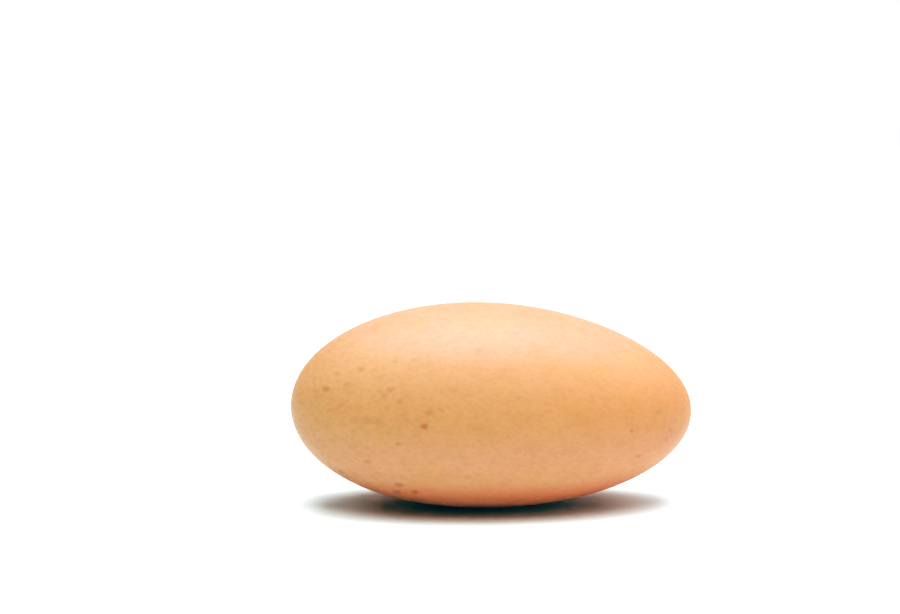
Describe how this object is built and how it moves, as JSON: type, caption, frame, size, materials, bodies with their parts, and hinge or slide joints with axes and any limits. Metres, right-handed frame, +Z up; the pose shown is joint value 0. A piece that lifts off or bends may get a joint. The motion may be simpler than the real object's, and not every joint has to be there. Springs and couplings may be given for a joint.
{
  "type": "brown hen's egg",
  "caption": "Whole hen's egg in a brown speckled shell, long and narrow, lying on its side, with the blunt end a little fuller than the pointed one.",
  "frame": {"origin": "middle of the small flat spot that the egg rests on, straight under its centre of mass", "axes": "+Z up; +X towards the pointed end, level with the table, so that the egg's own long axis dips by about 1.6 degrees towards +X, as the egg rests by itself; +Y completes a right-handed frame"},
  "size_m": [0.0753, 0.0386, 0.0385],
  "materials": {
    "shell": "satin"
  },
  "bodies": {
    "root": {"egg": "shell"}
  },
  "joints": []
}
